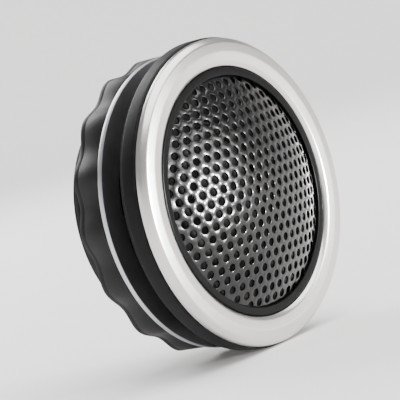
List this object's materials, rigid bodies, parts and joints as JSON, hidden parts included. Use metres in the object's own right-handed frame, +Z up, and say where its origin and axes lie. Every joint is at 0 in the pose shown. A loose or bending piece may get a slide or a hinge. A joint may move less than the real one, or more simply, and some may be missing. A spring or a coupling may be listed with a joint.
{
  "type": "flush-mount dome tweeter",
  "caption": "Round flush-mount car tweeter with a domed black grille in a satin silver ring, and a threaded neck with a clamping lock ring behind.",
  "frame": {"origin": "on the tweeter's axis, in the plane of the flange gasket's back face, where it meets the front of the panel", "axes": "+Y along the axis into the panel, so the grille faces -Y; +Z up; +X towards the positive terminal"},
  "size_m": [0.07, 0.0441, 0.07],
  "materials": {
    "satin_silver": "satin, bead-blasted and anodised",
    "black_mesh": "semi-gloss black powder coat on perforated steel",
    "black_bezel": "semi-gloss black",
    "black_plastic": "moulded, lightly grained",
    "cup_plastic": "moulded, lightly grained",
    "ring_plastic": "moulded, lightly grained",
    "cap_plastic": "moulded, lightly grained",
    "block_plastic": "moulded",
    "gasket_foam": "closed-cell foam",
    "seal_rubber": "moulded rubber",
    "zinc_steel": "zinc-plated",
    "silk": "coated silk",
    "surround_cloth": "coated cloth",
    "former_aluminium": "foil",
    "copper_wire": "enamelled winding",
    "copper_braid": "braided",
    "copper_sheet": "drawn copper",
    "bright_brass": "bright, stamped",
    "red_insulation": "extruded insulation",
    "black_insulation": "extruded insulation",
    "pole_steel": "machined",
    "pot_steel": "zinc-plated",
    "nickel_plate": "nickel-plated sintered magnet",
    "grey_felt": "wool felt",
    "black_screw": "black oxide"
  },
  "bodies": {
    "housing": {"trim_ring": "satin_silver", "grille_mesh": "black_mesh", "grille_bezel": "black_bezel", "grille_retainer": "black_plastic", "face_plate": "black_plastic", "mounting_cup": "cup_plastic", "flange_gasket": "gasket_foam", "surround": "surround_cloth", "diaphragm_ring": "black_plastic", "diaphragm_gasket": "gasket_foam", "tinsel_lead_positive": "copper_braid", "tinsel_lead_negative": "copper_braid", "solder_tag_positive": "bright_brass", "solder_tag_negative": "bright_brass", "hookup_wire_positive": "red_insulation", "hookup_wire_negative": "black_insulation", "pole_plate": "pole_steel", "copper_cap": "copper_sheet", "magnet": "nickel_plate", "yoke_pot": "pot_steel", "pole_felt": "grey_felt", "chamber_felt": "grey_felt", "rear_cap": "cap_plastic", "cap_seal": "seal_rubber", "terminal_block": "block_plastic", "terminal_positive": "bright_brass", "terminal_negative": "bright_brass", "case_screw_1": "black_screw", "case_screw_2": "black_screw", "case_screw_3": "black_screw"},
    "diaphragm": {"dome": "silk", "coil_former": "former_aluminium", "voice_coil": "copper_wire"},
    "washer": {"thrust_washer": "zinc_steel"},
    "nut": {"lock_ring": "ring_plastic"}
  },
  "joints": [
    {"name": "diaphragm_travel", "type": "slide", "parent": "housing", "child": "diaphragm", "axis": [0, -1, 0], "range_m": [-0.0005, 0.0005], "stiffness_N_per_m": 10000, "deforming": ["surround", "tinsel_lead_positive", "tinsel_lead_negative"]},
    {"name": "washer_slide", "type": "slide", "parent": "housing", "child": "washer", "axis": [0, 1, 0], "range_m": [-0.005, 0.0045]},
    {"name": "lock_ring_turn", "type": "hinge", "parent": "washer", "child": "nut", "pos_m": [0, 0.0108, 0], "axis": [0, 1, 0], "range_deg": [-450, 405]}
  ],
  "couplings": [
    {"joint": "washer_slide", "follows": "lock_ring_turn", "m_per_rad": 0.00063662}
  ]
}
